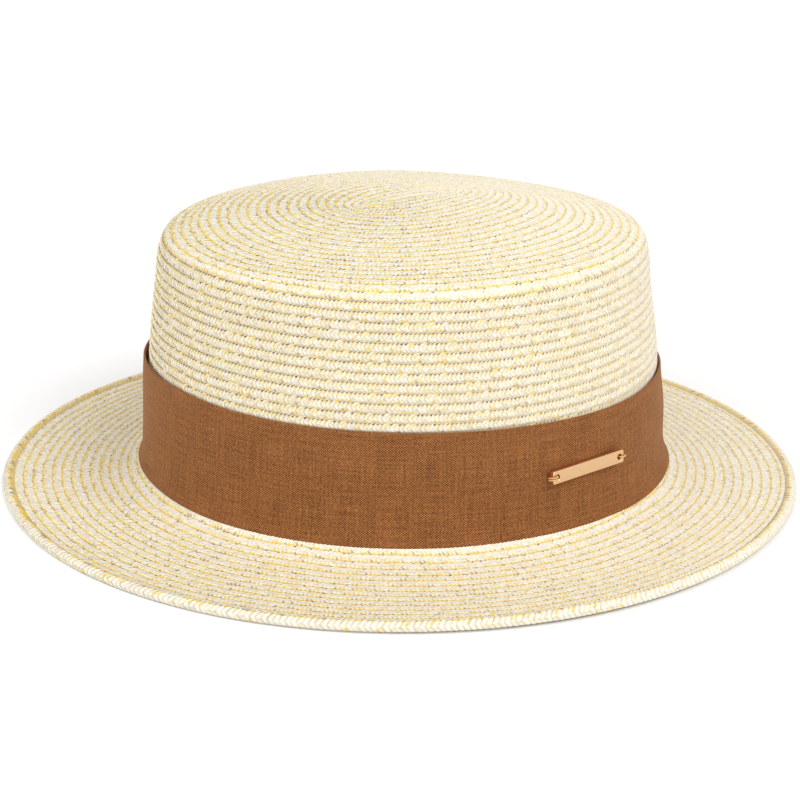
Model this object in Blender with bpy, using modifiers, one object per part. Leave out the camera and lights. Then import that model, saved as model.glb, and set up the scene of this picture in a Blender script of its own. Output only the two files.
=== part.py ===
"""A flat-top straw hat with a cloth band and a small metal bar on it.

Metres, +Z up. The hat rests on its brim. The origin is the middle of the plane that it rests on.
X runs along the oval's long axis and Y along its short one. The half-length of a horizontal section is
larger than its half-width by nearly the same amount at every height, so a row of braid is equally wide all round.
"""
import math
from collections import namedtuple

import bmesh
import bpy
from mathutils import Matrix, Vector

MM = 0.001

# Driving dimensions
LONG_EXTRA = 14.0 * MM      # half-length less half-width, from the brim up to the band's upper edge
TOP_LONG_EXTRA = 12.4 * MM  # the same at the top, because the ends lean in a little more than the sides
SIDES = 40                  # facets round each oval
STRAW = 2.0 * MM            # wall of sewn straw braid
CLOTH = 1.0 * MM            # wall of the band
RIB = 0.35 * MM             # how far the middle of a braid row stands out
WELD = 0.01 * MM            # merging distance of the revolved sections
WALL_ROWS = 12              # braid rows between the band and the shoulder
TIP_ROWS = 20               # braid rows from the shoulder to the middle of the top
BRIM_ROWS = 13              # braid rows from the band to the edge row
TIP_START = 4.0 * MM        # half-width of the first, nearly straight row of the top
TIP_RIM = 73.0 * MM         # half-width where the top meets the shoulder
TIP_RIM_HEIGHT = 97.9 * MM
TIP_RISE = 8.7 * MM         # how much higher the middle of the top is than its rim
TIP_CURVE = 1.5             # 2 would be a round dome, 1 a cone
SHOULDER = 4.9 * MM         # radius of the shoulder
INSIDE_TIP = (1.0, 0.86, 0.66, 0.33, 0.0)   # shares of the way from the middle of the top to its rim

# Sections of the outer faces: half-width and height, in millimetres
Section = namedtuple("Section", "half_width height")
CROWN_FOOT = (
    Section(84.9, 9.6),
    Section(84.0, 15.5),
    Section(82.6, 31.5),
)
WALL_START = Section(81.2, 47.8)
WALL_END = Section(77.8, 92.5)
BRIM_TOP = (
    Section(132.9, 2.8),
    Section(120.0, 2.2),
    Section(111.0, 2.1),
    Section(100.4, 2.75),
    Section(96.8, 3.2),
    Section(93.3, 3.9),
    Section(90.0, 4.9),
    Section(87.9, 5.75),
)
BRIM_COLLAR = (
    Section(86.3, 6.2),
    Section(85.3, 6.9),
    Section(84.95, 8.0),
    Section(84.9, 9.2),
)
BRIM_UNDERSIDE = (
    Section(82.9, 9.0),
    Section(83.1, 7.0),
    Section(84.4, 5.0),
    Section(87.0, 4.0),
    Section(93.0, 2.1),
    Section(100.4, 0.9),
    Section(111.0, 0.3),
    Section(120.0, 0.35),
    Section(132.9, 0.9),
)
EDGE_ROW = (
    Section(133.2, 0.6),
    Section(133.9, 0.0),
    Section(136.3, 0.0),
    Section(137.2, 0.8),
    Section(137.2, 1.9),
    Section(136.5, 2.8),
    Section(135.2, 3.2),
    Section(133.8, 3.0),
    Section(133.2, 2.4),
)
BAND_OUTER = (
    Section(87.0, 6.6),
    Section(86.0, 10.3),
    Section(85.3, 15.3),
    Section(84.0, 31.3),
    Section(82.66, 47.8),
)

# Where the band's upper edge stands off the crown
StandOff = namedtuple("StandOff", "angle_deg reach spread_deg")
STAND_OFFS = (
    StandOff(180.0, 1.3 * MM, 22.0),
    StandOff(0.0, 0.9 * MM, 26.0),
)
STAND_OFF_START = 27.0 * MM
BAND_TOP = BAND_OUTER[-1].height * MM

# The metal bar and its threads
PLATE_LENGTH = 33.4 * MM
PLATE_HEIGHT = 4.8 * MM
PLATE_THICK = 1.6 * MM
PLATE_CORNER = 0.7 * MM             # radius of its four corners
PLATE_EDGE = 0.25 * MM              # bevel of its front and back edges
PLATE_ANGLE = math.radians(-53.8)   # its place round the oval
PLATE_MIDDLE = 28.4 * MM            # height of its middle
PLATE_TURN = math.radians(0.9)      # it hangs a little askew
PLATE_GAP = 0.45 * MM               # from the band to the middle of its back
HOLE_RADIUS = 1.05 * MM
HOLE_FROM_MIDDLE = 14.7 * MM
HOLE_SIDES = 16
THREAD_RADIUS = 0.28 * MM
THREAD_CLEAR = 0.35 * MM    # gap between a thread and the bar
THREAD_SPLAY = 0.42 * MM    # half the distance between the two threads of one hole
THREAD_RISE = 0.2 * MM      # from the middle of the hole to where a thread comes up
THREAD_BEND = 0.45 * MM     # size of the turns that a thread makes
THREAD_SLANT = 0.35 * MM    # how far it runs on past the bar's end on its way down
THREAD_DROP = 0.4 * MM      # and how far it sinks there
THREAD_SHORT = 0.2 * MM     # how far its ends stop in front of the plane of the bar's back

Look = namedtuple("Look", "colour roughness metallic")
STRAW_LOOK = Look((0.84, 0.77, 0.60, 1.0), 0.75, 0.0)
BAND_LOOK = Look((0.36, 0.17, 0.08, 1.0), 0.9, 0.0)
METAL_LOOK = Look((0.80, 0.50, 0.28, 1.0), 0.3, 1.0)
THREAD_LOOK = Look((0.55, 0.33, 0.10, 1.0), 0.6, 0.0)


def clear_scene():
    """Remove what the new scene starts with."""
    for thing in list(bpy.data.objects):
        bpy.data.objects.remove(thing, do_unlink=True)


def new_collection(name):
    group = bpy.data.collections.new(name)
    bpy.context.scene.collection.children.link(group)
    return group


def new_material(name, look):
    material = bpy.data.materials.new(name)
    material.use_nodes = True
    shader = material.node_tree.nodes["Principled BSDF"]
    shader.inputs["Base Color"].default_value = look.colour
    shader.inputs["Roughness"].default_value = look.roughness
    shader.inputs["Metallic"].default_value = look.metallic
    return material


def add_part(group, name, mesh, look):
    """Put a mesh into the collection as a named piece with its own material."""
    mesh.name = name
    mesh.materials.clear()
    mesh.materials.append(new_material(name, look))
    part = bpy.data.objects.new(name, mesh)
    group.objects.link(part)
    return part


def apply_modifiers(thing):
    """The mesh that the object's modifiers give; the object itself is removed."""
    graph = bpy.context.evaluated_depsgraph_get()
    mesh = bpy.data.meshes.new_from_object(thing.evaluated_get(graph))
    bpy.data.objects.remove(thing, do_unlink=True)
    return mesh


def metres(sections):
    return [(row.half_width * MM, row.height * MM) for row in sections]


def ribbed(path, rows):
    """Points from path(0) to path(1) with one low rib a row on the outer face, which is on the path's right."""
    points = []
    for row in range(rows):
        points.append(path(row / rows))
        before = path((row + 0.25) / rows)
        after = path((row + 0.75) / rows)
        run = (after[0] - before[0], after[1] - before[1])
        length = math.hypot(*run)
        width, height = path((row + 0.5) / rows)
        points.append((width + RIB * run[1] / length, height - RIB * run[0] / length))
    points.append(path(1.0))
    return points


def through(sections):
    """A path of straight pieces through the sections, even in length."""
    points = metres(sections)
    lengths = [math.dist(a, b) for a, b in zip(points, points[1:])]

    def path(u):
        left = u * sum(lengths)
        for a, b, length in zip(points, points[1:], lengths):
            if left <= length:
                break
            left -= length
        share = min(1.0, left / length)
        return (a[0] + (b[0] - a[0]) * share, a[1] + (b[1] - a[1]) * share)

    return path


def tip_height(half_width):
    return TIP_RIM_HEIGHT + TIP_RISE * (1.0 - (half_width / TIP_RIM) ** TIP_CURVE)


def tip_path(u):
    half_width = TIP_RIM + (TIP_START - TIP_RIM) * u
    return (half_width, tip_height(half_width))


def shoulder_points(radius, steps):
    """The rounded corner between the wall and the top, about one centre for both faces of the wall."""
    centre = (TIP_RIM, TIP_RIM_HEIGHT - SHOULDER)
    points = []
    for step in range(1, steps):
        turn = math.radians(90.0) * step / steps
        points.append((centre[0] + radius * math.cos(turn), centre[1] + radius * math.sin(turn)))
    return points


def revolve(name, points, closed):
    """Turn a profile about Z with a Screw modifier; an open profile gets a flat face at each end."""
    mesh = bpy.data.meshes.new(name)
    edges = [(i, i + 1) for i in range(len(points) - 1)]
    if closed:
        edges.append((len(points) - 1, 0))
    mesh.from_pydata([(x, 0.0, z) for x, z in points], edges, [])
    thing = bpy.data.objects.new(name, mesh)
    bpy.context.scene.collection.objects.link(thing)
    screw = thing.modifiers.new("turn", "SCREW")
    screw.axis = "Z"
    screw.angle = math.radians(360.0)
    screw.steps = SIDES
    screw.render_steps = SIDES
    screw.use_merge_vertices = True
    screw.merge_threshold = WELD
    turned = apply_modifiers(thing)
    body = bmesh.new()
    body.from_mesh(turned)
    if not closed:
        rims = [edge for edge in body.edges if edge.is_boundary]
        bmesh.ops.holes_fill(body, edges=rims, sides=SIDES)
    bmesh.ops.recalc_face_normals(body, faces=body.faces)
    return body, turned


def long_extra(height):
    """Half-length less half-width at a height."""
    share = (height - BAND_TOP) / (TIP_RIM_HEIGHT - BAND_TOP)
    share = min(1.0, max(0.0, share))
    return LONG_EXTRA + (TOP_LONG_EXTRA - LONG_EXTRA) * share


def widen(body):
    """Make each round section an oval by moving it out along X."""
    for vertex in body.verts:
        radius = math.hypot(vertex.co.x, vertex.co.y)
        vertex.co.x += long_extra(vertex.co.z) * vertex.co.x / radius


def finish_body(body, mesh):
    """Split the warped faces into triangles and write the body back to its mesh."""
    warped = [face for face in body.faces if len(face.verts) == 4]
    bmesh.ops.triangulate(body, faces=warped)
    for face in body.faces:
        face.smooth = True
    body.to_mesh(mesh)
    body.free()
    return mesh


def build_crown(group):
    outer = metres(CROWN_FOOT)
    outer += ribbed(through((WALL_START, WALL_END)), WALL_ROWS)
    outer += shoulder_points(SHOULDER, 3)
    outer += ribbed(tip_path, TIP_ROWS)
    inside = [CROWN_FOOT[0], CROWN_FOOT[1], WALL_START, WALL_END]
    inner = [(width - STRAW, height) for width, height in metres(inside)]
    inner += shoulder_points(SHOULDER - STRAW, 2)
    for share in INSIDE_TIP:
        half_width = TIP_START + (TIP_RIM - TIP_START) * share
        inner.append((half_width, tip_height(half_width) - STRAW))
    body, mesh = revolve("crown", outer[::-1] + inner, False)
    widen(body)
    return add_part(group, "crown", finish_body(body, mesh), STRAW_LOOK)


def build_ring(group, name, points, look):
    body, mesh = revolve(name, points, True)
    widen(body)
    return add_part(group, name, finish_body(body, mesh), look)


def build_brim(group):
    points = ribbed(through(BRIM_TOP), BRIM_ROWS)
    points += metres(BRIM_COLLAR) + metres(BRIM_UNDERSIDE)
    return build_ring(group, "brim", points, STRAW_LOOK)


def stand_off(angle, height):
    """How far the band is moved out at an angle round the oval and a height."""
    rise = max(0.0, (height - STAND_OFF_START) / (BAND_TOP - STAND_OFF_START))
    total = 0.0
    for row in STAND_OFFS:
        away = (math.degrees(angle) - row.angle_deg + 180.0) % 360.0 - 180.0
        total += row.reach * math.exp(-((away / row.spread_deg) ** 2))
    return total * rise


def build_band(group):
    outer = metres(BAND_OUTER)
    inner = [(width - CLOTH, height) for width, height in reversed(outer)]
    body, mesh = revolve("hat_band", outer + inner, True)
    for vertex in body.verts:
        angle = math.atan2(vertex.co.y, vertex.co.x)
        out = stand_off(angle, vertex.co.z)
        vertex.co.x += out * math.cos(angle)
        vertex.co.y += out * math.sin(angle)
    widen(body)
    return add_part(group, "hat_band", finish_body(body, mesh), BAND_LOOK)


def band_half_width(height):
    """Half-width of the band's outer face at a height."""
    rows = metres(BAND_OUTER)
    for low, high in zip(rows, rows[1:]):
        if low[1] <= height <= high[1]:
            share = (height - low[1]) / (high[1] - low[1])
            return low[0] + (high[0] - low[0]) * share
    return rows[-1][0]


def plate_frame():
    """The bar's own axes on the band: X along it, Y up it, Z out of the band."""
    width = band_half_width(PLATE_MIDDLE)
    length = width + LONG_EXTRA
    spot = Vector((length * math.cos(PLATE_ANGLE), width * math.sin(PLATE_ANGLE), PLATE_MIDDLE))
    out = Vector((spot.x / length ** 2, spot.y / width ** 2, 0.0)).normalized()
    lean = (band_half_width(PLATE_MIDDLE + MM) - band_half_width(PLATE_MIDDLE - MM)) / (2.0 * MM)
    out = (out + Vector((0.0, 0.0, -lean))).normalized()
    along = Matrix.Rotation(PLATE_TURN, 3, out) @ Vector((0.0, 0.0, 1.0)).cross(out).normalized()
    up = out.cross(along).normalized()
    frame = Matrix((along, up, out)).transposed().to_4x4()
    frame.translation = spot + out * (PLATE_GAP + PLATE_THICK / 2.0)
    return frame


def build_plate(group, cutters, frame):
    body = bmesh.new()
    bmesh.ops.create_cube(body, size=1.0)
    bmesh.ops.scale(body, vec=(PLATE_LENGTH, PLATE_HEIGHT, PLATE_THICK), verts=body.verts)
    mesh = bpy.data.meshes.new("name_plate")
    body.to_mesh(mesh)
    body.free()
    blank = bpy.data.objects.new("name_plate_blank", mesh)
    bpy.context.scene.collection.objects.link(blank)
    upright = [edge for edge in mesh.edges if abs(
        mesh.vertices[edge.vertices[0]].co.z - mesh.vertices[edge.vertices[1]].co.z) > PLATE_THICK / 2.0]
    weights = mesh.attributes.new("bevel_weight_edge", "FLOAT", "EDGE")
    for edge in upright:
        weights.data[edge.index].value = 1.0
    corners = blank.modifiers.new("corners", "BEVEL")
    corners.limit_method = "WEIGHT"
    corners.width = PLATE_CORNER
    corners.segments = 3
    edges = blank.modifiers.new("edges", "BEVEL")
    edges.limit_method = "ANGLE"
    edges.angle_limit = math.radians(60.0)
    edges.width = PLATE_EDGE
    edges.segments = 1
    for side in (-1.0, 1.0):
        tool = bmesh.new()
        bmesh.ops.create_cone(tool, cap_ends=True, segments=HOLE_SIDES, radius1=HOLE_RADIUS,
                              radius2=HOLE_RADIUS, depth=PLATE_THICK * 3.0)
        drill_mesh = bpy.data.meshes.new("plate_hole")
        tool.to_mesh(drill_mesh)
        tool.free()
        drill = bpy.data.objects.new("plate_hole", drill_mesh)
        drill.location = (side * HOLE_FROM_MIDDLE, 0.0, 0.0)
        drill.hide_render = True
        drill.display_type = "WIRE"
        cutters.objects.link(drill)
        cut = blank.modifiers.new("hole", "BOOLEAN")
        cut.operation = "DIFFERENCE"
        cut.solver = "EXACT"
        cut.object = drill
    bpy.context.view_layer.update()
    plate_mesh = apply_modifiers(blank)
    plate_mesh.transform(frame)
    return add_part(group, "name_plate", plate_mesh, METAL_LOOK)


def build_stitch(group, name, frame, side, splay):
    """A thread that comes out of a hole of the bar and goes over the bar's end to the band."""
    rise = HOLE_FROM_MIDDLE + THREAD_RISE
    past = PLATE_LENGTH / 2.0 + THREAD_CLEAR + THREAD_RADIUS
    top = PLATE_THICK / 2.0 + THREAD_CLEAR + THREAD_RADIUS
    foot = THREAD_SHORT - PLATE_THICK / 2.0
    route = (
        (rise, splay, foot),
        (rise, splay, top - THREAD_BEND),
        (rise + THREAD_BEND, splay, top),
        (past - THREAD_BEND, splay, top),
        (past, splay, top - THREAD_BEND),
        (past + THREAD_SLANT, splay - THREAD_DROP, foot),
    )
    curve = bpy.data.curves.new(name, "CURVE")
    curve.dimensions = "3D"
    curve.bevel_depth = THREAD_RADIUS
    curve.bevel_resolution = 1
    curve.use_fill_caps = True
    curve.resolution_u = 2
    line = curve.splines.new("POLY")
    line.points.add(len(route) - 1)
    for point, (x, y, z) in zip(line.points, route):
        spot = frame @ Vector((side * x, y, z))
        point.co = (spot.x, spot.y, spot.z, 1.0)
    thing = bpy.data.objects.new(name, curve)
    bpy.context.scene.collection.objects.link(thing)
    mesh = apply_modifiers(thing)
    return add_part(group, name, mesh, THREAD_LOOK)


def main():
    clear_scene()
    group = new_collection("flat_top_straw_hat")
    cutters = new_collection("cutters")
    build_crown(group)
    build_brim(group)
    build_ring(group, "edge_braid", metres(EDGE_ROW), STRAW_LOOK)
    build_band(group)
    frame = plate_frame()
    build_plate(group, cutters, frame)
    build_stitch(group, "stitch_left_upper", frame, -1.0, THREAD_SPLAY)
    build_stitch(group, "stitch_left_lower", frame, -1.0, -THREAD_SPLAY)
    build_stitch(group, "stitch_right", frame, 1.0, 0.0)


main()
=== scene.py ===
"""Looks of the flat-top straw hat: sewn rows of flat straw braid, a cloth band and a small metal bar.

Metres, in the frame's axes: X along the oval's long axis, Y along its short one, +Z up, and z = 0 where the
hat rests. The straw is a plait of real strands. A strand is placed by three numbers: how many turns of the
braid lie before it, its place across the row (0 at the row's inner edge, 1 at its outer edge), and its lift
off the outer face.
"""
import math
from collections import namedtuple

import bmesh
import bpy
import numpy as np
from mathutils import Matrix, Vector


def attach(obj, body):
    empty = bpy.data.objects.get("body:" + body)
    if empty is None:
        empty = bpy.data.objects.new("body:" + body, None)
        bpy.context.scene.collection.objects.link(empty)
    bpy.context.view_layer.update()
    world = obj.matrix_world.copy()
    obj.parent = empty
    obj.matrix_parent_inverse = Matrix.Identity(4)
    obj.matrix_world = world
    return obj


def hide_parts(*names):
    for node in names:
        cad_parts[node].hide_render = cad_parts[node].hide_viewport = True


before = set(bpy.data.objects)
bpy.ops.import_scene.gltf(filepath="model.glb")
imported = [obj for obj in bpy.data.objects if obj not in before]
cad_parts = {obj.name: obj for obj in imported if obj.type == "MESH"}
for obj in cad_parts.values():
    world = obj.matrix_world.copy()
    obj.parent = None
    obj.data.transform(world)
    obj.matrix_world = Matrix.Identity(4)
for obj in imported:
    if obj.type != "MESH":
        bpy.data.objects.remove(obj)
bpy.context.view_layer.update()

MM = 0.001
RNG = np.random.default_rng(11)

# Camera at the photograph's angle
CAMERA_PLACE = Vector((-0.07888, -0.73627, 0.32464))
CAMERA_RIGHT = Vector((0.995056, -0.097460, 0.019102))
CAMERA_AHEAD = Vector((0.097538, 0.922797, -0.372735))
CAMERA_LENS_MM = 94.34
SENSOR_MM = 36.0

# Braid
ROW = 3.56 * MM            # width of a row that shows
PITCH = 1.5 * MM           # from one strand of the plait to the next
FRONT = math.radians(270.0)  # where the spirals' turns are counted from
CROWN_PHASE = 0.47         # where the front meets the spiral of the crown, in rows
BRIM_PHASE = 0.965
CORE_OUTSIDE = -0.66 * MM  # the closed sheet between the strands of both faces
CORE_INSIDE = -1.1 * MM

# Outer face at the middle of the long side: half-width and height, in millimetres
Section = namedtuple("Section", "half_width height")
CROWN_FACE = (
    Section(0.0, 106.6),
    Section(10.0, 106.4),
    Section(20.0, 105.8),
    Section(29.9, 104.8),
    Section(40.4, 103.2),
    Section(50.9, 101.3),
    Section(61.5, 99.8),
    Section(68.5, 98.9),
    Section(72.2, 98.35),
    Section(74.9, 97.3),
    Section(76.5, 95.5),
    Section(77.3, 93.2),
    Section(77.9, 90.1),
    Section(78.7, 79.5),
    Section(79.8, 68.9),
    Section(80.9, 58.3),
    Section(81.5, 47.7),
    Section(82.3, 31.5),
    Section(83.3, 15.5),
    Section(84.0, 9.8),
)
BRIM_FACE = (
    Section(84.4, 11.0),
    Section(85.2, 9.0),
    Section(86.2, 7.4),
    Section(87.6, 6.0),
    Section(90.0, 4.6),
    Section(93.3, 3.5),
    Section(96.8, 2.8),
    Section(100.4, 2.4),
    Section(104.0, 2.1),
    Section(107.5, 1.85),
    Section(111.0, 1.7),
    Section(114.6, 1.62),
    Section(118.0, 1.6),
    Section(121.7, 1.6),
    Section(125.2, 1.65),
    Section(128.8, 1.8),
    Section(133.0, 2.3),
)
EDGE_FACE = (
    Section(132.5, 2.1),
    Section(133.4, 2.8),
    Section(134.6, 3.1),
    Section(135.9, 2.95),
    Section(136.75, 2.3),
    Section(137.05, 1.5),
    Section(137.0, 0.75),
    Section(136.75, 0.1),
)
BAND_FACE = (
    Section(87.0, 6.6),
    Section(85.9, 9.0),
    Section(85.1, 12.0),
    Section(84.75, 15.3),
    Section(84.0, 31.3),
    Section(82.66, 47.8),
)

# How the oval departs from one of even width: half-length less half-width
LONG_EXTRA = 14.0 * MM
TOP_LONG_EXTRA = 12.4 * MM
MIDDLE_EXTRA = 14.0 * MM            # half-length of the straight piece that the braid starts with
MIDDLE_TURN = math.radians(24.0)    # that piece lies askew on the top
MIDDLE_SHIFT = (3.0 * MM, 4.5 * MM)  # and a little to the right and the back
BAND_TOP = 47.8 * MM
LEAN_END = 97.8 * MM                # the ends of the oval lean in from the band's top to here
TOP_SHIFT = -0.8 * MM               # and the top stands a little to the left

# Angles are degrees round the oval: 0 at +X, 90 at +Y at the back, 270 at the front
Softer = namedtuple("Softer", "angle cut_mm")
SHOULDER_CUTS = (
    Softer(-90, 0.2), Softer(-45, 0.3), Softer(0, 0.6), Softer(25, 1.0), Softer(55, 1.9), Softer(90, 1.1),
    Softer(125, 2.0), Softer(155, 1.9), Softer(180, 1.6), Softer(225, 0.6), Softer(270, 0.2),
)
Wave = namedtuple("Wave", "angle lift_mm reach_mm")  # up and outward
BRIM_WAVES = (
    Wave(-120, 0.3, 0.6), Wave(-90, 0.95, 0.0), Wave(-65, 1.4, -0.1), Wave(-30, 1.2, -0.4),
    Wave(-10, 0.5, -0.2), Wave(0, 0.2, -0.3), Wave(40, -0.3, -1.4), Wave(90, -0.4, -1.9),
    Wave(130, -0.6, -2.2), Wave(160, -0.2, -0.6), Wave(180, 0.0, -0.1), Wave(200, 0.0, 0.0),
    Wave(210, 0.0, 0.4), Wave(240, 0.3, 0.6),
)
BAND_TOP_WAVES = (
    Wave(-90, 0.3, 0.0), Wave(-75, 0.05, 0.0), Wave(-60, -0.4, 0.0), Wave(-45, -0.85, 0.1),
    Wave(-30, -0.7, 0.3), Wave(-18, -0.3, 0.15), Wave(-9, -0.6, -0.35), Wave(0, -1.6, -0.15),
    Wave(15, -2.4, 0.0), Wave(30, -2.2, 0.0), Wave(60, -1.0, 0.0), Wave(120, 0.0, 0.1),
    Wave(160, 0.0, 0.3), Wave(174, 0.2, 0.85), Wave(184, 0.4, 0.7), Wave(195, 0.8, 0.1),
    Wave(210, 1.4, 0.0), Wave(225, 0.8, 0.0), Wave(245, 0.55, 0.0),
)
BAND_BOTTOM_WAVES = (
    Wave(-90, 0.0, 0.0), Wave(-72, -0.55, 0.0), Wave(-57, -0.1, 0.0), Wave(-41, -0.6, 0.2),
    Wave(-28, -0.4, 0.4), Wave(-20, -0.3, 0.6), Wave(-10, 0.0, 0.9), Wave(10, 0.0, 0.9),
    Wave(40, 0.0, 0.4), Wave(90, 0.0, 0.0), Wave(160, 0.0, -0.2), Wave(180, 0.2, -0.5),
    Wave(190, 0.7, -0.5), Wave(204, 0.9, -0.3), Wave(215, 0.5, 0.0), Wave(234, -0.2, 0.0),
)
Drift = namedtuple("Drift", "angle out_mm")
BAND_SWELL = (  # the band stands off the crown at the right end
    Drift(-90, 0.0), Drift(-45, 0.1), Drift(-22, 0.6), Drift(-8, 1.2), Drift(8, 1.2), Drift(25, 0.5),
    Drift(60, 0.0), Drift(180, 0.0),
)
BRIM_COURSE = (  # how far outside an even spiral the brim's rows lie
    Drift(0, 0.0), Drift(90, -0.3), Drift(180, -0.5), Drift(195, -0.5), Drift(210, 0.2), Drift(223, 0.5),
    Drift(235, 1.0), Drift(241, 0.3), Drift(247, -0.3), Drift(253, 0.5), Drift(259, 0.4), Drift(265, -0.2),
    Drift(272, 0.7), Drift(280, 0.8), Drift(290, 0.5), Drift(300, -0.2), Drift(310, -0.8), Drift(322, -1.8),
    Drift(335, -0.6), Drift(348, -0.4),
)

# How far outside an even spiral the crown's rows lie, in millimetres, at lengths from the middle of the top:
# a sum of waves round the oval. The rows are narrower near the middle and over the shoulder
Course = namedtuple("Course", "length_mm even cos1 sin1 cos2 sin2 cos3 sin3")
CROWN_COURSE = (
    Course(0, 3.6, 0.0, 0.0, 0.0, 0.0, 0.0, 0.0),
    Course(4, 2.9, -0.4, -0.3, -0.2, 1.2, 0.3, -0.7),
    Course(8, 2.7, -1.0, -0.5, -0.4, 1.8, 0.3, -1.1),
    Course(16, 2.0, -1.8, -0.2, -1.2, 1.2, 0.9, -0.7),
    Course(24, 1.2, -2.5, 0.5, -2.4, 0.8, 1.1, -0.6),
    Course(34, 1.1, -2.6, 0.7, -2.9, 1.5, 0.9, -0.7),
    Course(46, 1.2, -2.1, 1.4, -2.5, 1.2, 0.9, -0.1),
    Course(60, 0.7, -2.1, 1.7, -1.9, 0.3, 1.6, -0.2),
    Course(70, -0.6, -1.2, 0.7, -1.0, 0.6, 1.0, -0.5),
    Course(75, -0.9, -1.0, 0.0, -0.8, 0.6, 0.3, -0.3),
    Course(79, -1.0, -0.9, -0.2, -0.6, 0.3, -0.1, 0.1),
    Course(84, -0.9, -1.0, -0.4, -0.4, 0.1, -0.2, 0.0),
)

# Strands. Across and along follow the row; along is positive where the chevrons point
Knot = namedtuple("Knot", "across along_mm lift_mm width")
Column = namedtuple("Column", "along lift_mm")
# A look of the plait. The knots lie along a strand of the row's inner or outer half, and the columns beside
# each other on the strand, in pitches. Four shares of the strands follow: holes have a hole beside the root,
# dipped in and painted dark as the shade in it, gold_roots a golden root (of the outer half, gold_ends of
# that share) and gold_strokes a golden stroke. line is how much painted shade darkens the gap between two
# strands
Look = namedtuple("Look", "inner outer columns holes gold_roots gold_ends gold_strokes line")
WALL_LOOK = Look(
    inner=(
        Knot(-0.08, -2.15, -0.45, 1.0),
        Knot(0.01, -1.90, -0.28, 1.0),
        Knot(0.15, -1.50, -0.22, 1.0),
        Knot(0.32, -0.98, -0.12, 0.95),
        Knot(0.60, 0.0, -0.10, 0.95),
    ),
    outer=(
        Knot(0.50, 0.10, -0.24, 1.0),
        Knot(0.66, -0.30, -0.06, 1.0),
        Knot(0.88, -0.95, -0.02, 1.0),
        Knot(0.98, -1.25, -0.20, 0.95),
    ),
    columns=(Column(-0.5, 0.0), Column(0.0, 0.13), Column(0.6, -0.12)),
    holes=0.85, gold_roots=0.55, gold_ends=0.6, gold_strokes=0.85, line=0.85,
)
FLAT_LOOK = Look(
    inner=(
        Knot(-0.10, -2.20, -0.28, 1.0),
        Knot(0.02, -1.90, -0.11, 1.0),
        Knot(0.13, -1.58, -0.06, 1.0),
        Knot(0.25, -1.20, -0.04, 1.0),
        Knot(0.60, 0.0, -0.03, 0.95),
    ),
    outer=(
        Knot(0.50, 0.10, -0.12, 1.0),
        Knot(0.68, -0.38, -0.01, 1.0),
        Knot(0.84, -0.84, 0.0, 1.0),
        Knot(0.99, -1.25, -0.12, 0.95),
    ),
    columns=(Column(-0.5, 0.0), Column(0.0, 0.06), Column(0.6, -0.08)),
    holes=0.07, gold_roots=0.85, gold_ends=1.0, gold_strokes=0.15, line=0.26,
)
SHOULDER_LOOK = FLAT_LOOK._replace(holes=0.2, gold_strokes=0.3, line=0.4)
BACK_LOOK = Look(
    inner=(
        Knot(-0.26, -1.70, -1.50, 1.0),
        Knot(0.0, -0.90, -1.42, 1.0),
        Knot(0.30, 0.0, -1.30, 1.0),
    ),
    outer=(
        Knot(0.26, 0.05, -1.27, 1.0),
        Knot(0.50, -0.65, -1.30, 1.0),
        Knot(0.80, -1.50, -1.18, 1.0),
    ),
    columns=(Column(-0.5, 0.0), Column(0.62, 0.14)),
    holes=0.0, gold_roots=0.12, gold_ends=1.0, gold_strokes=0.0, line=0.5,
)
EDGE_PITCH = 2.0 * MM
EDGE_LOOK = Look(
    inner=(
        Knot(-0.04, -2.9, -0.45, 0.8),
        Knot(0.24, -1.90, -0.07, 1.0),
        Knot(0.34, -1.50, -0.01, 1.0),
        Knot(0.52, -0.85, 0.04, 1.0),
        Knot(0.74, 0.0, -0.02, 0.9),
    ),
    outer=(
        Knot(0.66, 0.15, -0.20, 1.0),
        Knot(0.75, -0.30, 0.0, 1.0),
        Knot(0.87, -0.90, 0.0, 1.0),
        Knot(1.0, -1.5, -0.15, 0.95),
    ),
    columns=(Column(-0.5, 0.0), Column(0.0, 0.14), Column(0.6, -0.16)),
    holes=0.0, gold_roots=0.8, gold_ends=0.15, gold_strokes=0.12, line=0.9,
)

# Straw colours, linear
STRAW = np.array((0.90, 0.845, 0.715))
# SHADED is painted shade, tinted golden-tan like the straw: it darkens the gaps between strands and their
# ends
SHADED = np.array((0.66, 0.52, 0.30))
YELLOW = np.array((0.95, 0.80, 0.28))
GOLD = np.array((0.93, 0.64, 0.06))
OCHRE = np.array((0.66, 0.46, 0.16))
# HOLE_SHADOW is painted shadow, the dark seen through the holes of the plait; the hole blends below are
# painted shade too
HOLE_SHADOW = np.array((0.085, 0.036, 0.003))

# Blends of them: golden and ochre roots; where a strand goes under a row, its root ochre partly and painted
# shade partly, its end painted shade; a fleck; and holes, painted dark as shade
PALE_GOLD = 0.5 * (YELLOW + GOLD)
DEEP_OCHRE = 0.85 * OCHRE
ROOT_OCHRE_AND_SHADE = 0.45 * OCHRE + 0.55 * STRAW
SHADED_END = 0.3 * SHADED + 0.7 * STRAW
FLECK = 0.5 * (OCHRE + STRAW)
HOLE_SHADE = 4.0 * HOLE_SHADOW
HOLE_DIMMEST = 0.3 * HOLE_SHADOW
HOLE_PALEST = 0.6 * OCHRE
PALEST = 0.96

# Specks: shares of the strands whose root is ochre or pale gold (the others' are golden) or that are flecked
OCHRE_SHARE = 0.22
PALE_GOLD_SHARE = 0.38
FLECK_SHARE = 0.4
# A speck shows from the strength SPECK_FROM on and is whole from SPECK_FULL on. These are its strengths
# beside the place where it is whole
SPECK_FROM = 0.2
SPECK_FULL = 0.4
MIDDLE_STRENGTH = 0.42     # what any speck keeps of its strength on the strand's middle line
STROKE_MIDDLE = 0.35
HOLE_ROOTWARD = 0.24
HOLE_TIPWARD = 0.27
FLECK_STRENGTH = 0.8
HOLE_DEPTH = 0.25 * MM
RAGGED = 0.05              # how uneven the strands lie, in rows and in millimetres

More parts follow.
